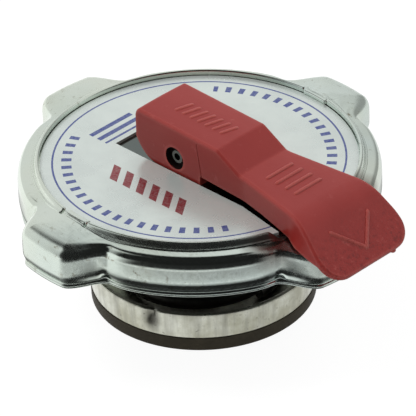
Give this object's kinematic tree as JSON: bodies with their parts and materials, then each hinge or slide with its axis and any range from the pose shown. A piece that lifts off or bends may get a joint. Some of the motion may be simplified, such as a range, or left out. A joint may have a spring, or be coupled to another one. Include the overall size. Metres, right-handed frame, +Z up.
{
  "type": "radiator cap",
  "caption": "Lobed steel radiator cap with a red safety lever whose cam lifts a spring-loaded pressure valve, with a vacuum valve in its middle.",
  "frame": {"origin": "on the cap's axis at the underside of the pressure seal", "axes": "+Z up along the cap's axis, +X along the lever towards its tip"},
  "size_m": [0.0785, 0.0736, 0.0364],
  "materials": {
    "zinc_steel": "bright zinc plate",
    "printed_plate": "glossy printed sheet",
    "spring_steel": "plain",
    "gasket_rubber": "matt",
    "pressed_steel": "plain",
    "rivet_steel": "plain",
    "spring_wire": "dark drawn wire",
    "pin_steel": "dull rolled pin",
    "red_moulding": "satin red moulding",
    "plain_steel": "satin tinned steel",
    "seal_rubber": "matt",
    "valve_brass": "turned",
    "light_wire": "bright wire"
  },
  "bodies": {
    "cap_body": {"shell": "zinc_steel", "top_plate": "printed_plate", "diaphragm": "spring_steel", "neck_gasket": "gasket_rubber", "spring_seat": "pressed_steel", "centre_rivet": "rivet_steel", "stem_seal": "gasket_rubber", "pressure_spring": "spring_wire"},
    "stem_body": {"lift_stem": "rivet_steel", "stem_washer": "rivet_steel", "lever_pin": "pin_steel"},
    "lever_body": {"lever": "red_moulding"},
    "pressure_valve_body": {"valve_cup": "plain_steel", "pressure_seal": "seal_rubber", "seal_retainer": "pressed_steel", "lift_bridge": "pressed_steel", "bridge_rivets": "rivet_steel", "vacuum_spring": "light_wire"},
    "vacuum_valve_body": {"vacuum_valve": "valve_brass", "vacuum_seal": "seal_rubber", "vacuum_washer": "pressed_steel"}
  },
  "joints": [
    {"name": "stem_slide", "type": "slide", "parent": "cap_body", "child": "stem_body", "axis": [0, 0, 1], "range_m": [0, 0.00614], "stiffness_N_per_m": 300, "springref_m": -0.005, "deforming": ["pressure_spring"]},
    {"name": "lever_lift", "type": "hinge", "parent": "stem_body", "child": "lever_body", "pos_m": [0, 0, 0.0298], "axis": [0, -1, 0], "range_deg": [0, 80]},
    {"name": "valve_slide", "type": "slide", "parent": "stem_body", "child": "pressure_valve_body", "axis": [0, 0, 1], "range_m": [0, 0.002], "stiffness_N_per_m": 300, "springref_m": -0.005, "deforming": ["pressure_spring"]},
    {"name": "vacuum_slide", "type": "slide", "parent": "pressure_valve_body", "child": "vacuum_valve_body", "axis": [0, 0, -1], "range_m": [0, 0.0009], "stiffness_N_per_m": 60, "springref_m": -0.002, "deforming": ["vacuum_spring"]}
  ],
  "couplings": [
    {"joint": "lever_lift", "follows": "stem_slide", "rad_per_m": 227.27}
  ]
}
